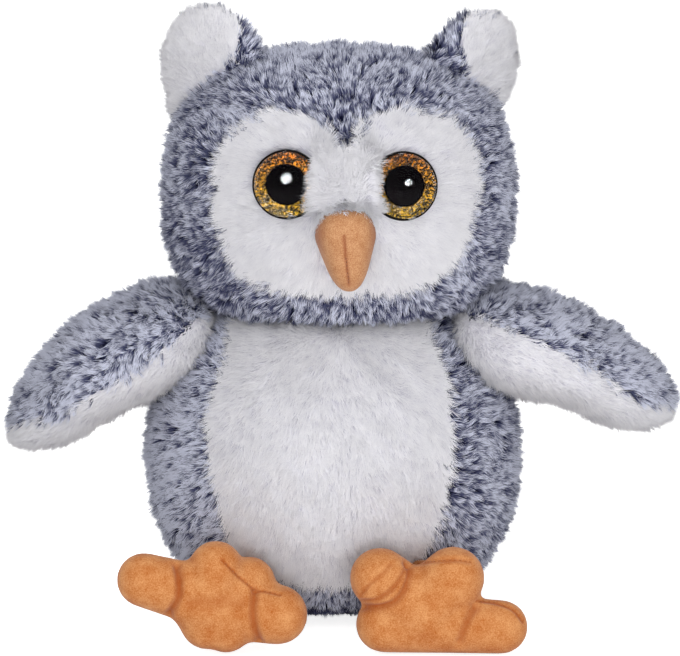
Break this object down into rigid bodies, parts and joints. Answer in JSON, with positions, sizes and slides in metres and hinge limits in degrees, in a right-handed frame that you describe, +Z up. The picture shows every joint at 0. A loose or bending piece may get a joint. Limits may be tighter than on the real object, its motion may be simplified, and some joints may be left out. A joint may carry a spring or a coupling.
{
  "type": "plush owl",
  "caption": "Seated stuffed owl with a round plush body, turning head, heart-shaped face, domed safety eyes, sewn beak, lifting wings and lobed velour feet.",
  "frame": {"origin": "middle of the flat seat, on the surface the toy sits on", "axes": "+Z up; the toy faces -Y, so +X is its own left side, the viewer's right"},
  "size_m": [0.2386, 0.1444, 0.2149],
  "materials": {
    "grey_plush": "long pile plush with pale tips over a dark blue-grey ground",
    "white_plush": "long pile white plush, slightly cool",
    "orange_velour": "short nap orange velour",
    "fibre_filling": "loose polyester fibre, hidden",
    "pouch_cloth": "plain woven cloth, hidden",
    "black_plastic": "moulded black, gloss",
    "gold_glitter": "glitter disc, brown at the top to gold at the bottom",
    "clear_plastic": "clear polished plastic dome",
    "white_plastic": "moulded white, hidden"
  },
  "bodies": {
    "body": {"body_left_panel": "grey_plush", "body_right_panel": "grey_plush", "base_panel": "grey_plush", "belly_panel": "white_plush", "body_stuffing": "fibre_filling", "pellet_pouch": "pouch_cloth"},
    "head": {"head_front_panel": "grey_plush", "head_back_panel": "grey_plush", "face_panel": "white_plush", "head_stuffing": "fibre_filling", "ear_left_front": "white_plush", "ear_left_back": "grey_plush", "ear_right_front": "white_plush", "ear_right_back": "grey_plush", "eye_left_backing": "black_plastic", "eye_left_iris": "gold_glitter", "eye_left_pupil": "black_plastic", "eye_left_lens": "clear_plastic", "eye_left_washer": "white_plastic", "eye_right_backing": "black_plastic", "eye_right_iris": "gold_glitter", "eye_right_pupil": "black_plastic", "eye_right_lens": "clear_plastic", "eye_right_washer": "white_plastic", "beak_left_panel": "orange_velour", "beak_right_panel": "orange_velour", "beak_stuffing": "fibre_filling"},
    "wing_left": {"wing_left_upper_panel": "grey_plush", "wing_left_under_panel": "white_plush", "wing_left_stuffing": "fibre_filling"},
    "wing_right": {"wing_right_upper_panel": "grey_plush", "wing_right_under_panel": "white_plush", "wing_right_stuffing": "fibre_filling"},
    "foot_left": {"foot_left_sole_panel": "orange_velour", "foot_left_upper_panel": "orange_velour", "foot_left_stuffing": "fibre_filling"},
    "foot_right": {"foot_right_sole_panel": "orange_velour", "foot_right_upper_panel": "orange_velour", "foot_right_stuffing": "fibre_filling"}
  },
  "joints": [
    {"name": "neck_turn", "type": "hinge", "parent": "body", "child": "head", "pos_m": [0.002, 0, 0.104], "axis": [0, 0, 1], "range_deg": [-20, 20], "stiffness_Nm_per_rad": 0.3},
    {"name": "wing_left_lift", "type": "hinge", "parent": "body", "child": "wing_left", "pos_m": [0.065, -0.006, 0.0955], "axis": [0, -1, 0], "range_deg": [-8, 40], "stiffness_Nm_per_rad": 0.2},
    {"name": "wing_right_lift", "type": "hinge", "parent": "body", "child": "wing_right", "pos_m": [-0.065, -0.006, 0.0955], "axis": [0, 1, 0], "range_deg": [-8, 40], "stiffness_Nm_per_rad": 0.2},
    {"name": "foot_left_tilt", "type": "hinge", "parent": "body", "child": "foot_left", "pos_m": [0.031, -0.048, 0.02], "axis": [0.9781, 0.2079, 0], "range_deg": [-12, 12], "stiffness_Nm_per_rad": 0.2},
    {"name": "foot_right_tilt", "type": "hinge", "parent": "body", "child": "foot_right", "pos_m": [-0.031, -0.048, 0.02], "axis": [0.9781, -0.2079, 0], "range_deg": [-12, 12], "stiffness_Nm_per_rad": 0.2}
  ]
}
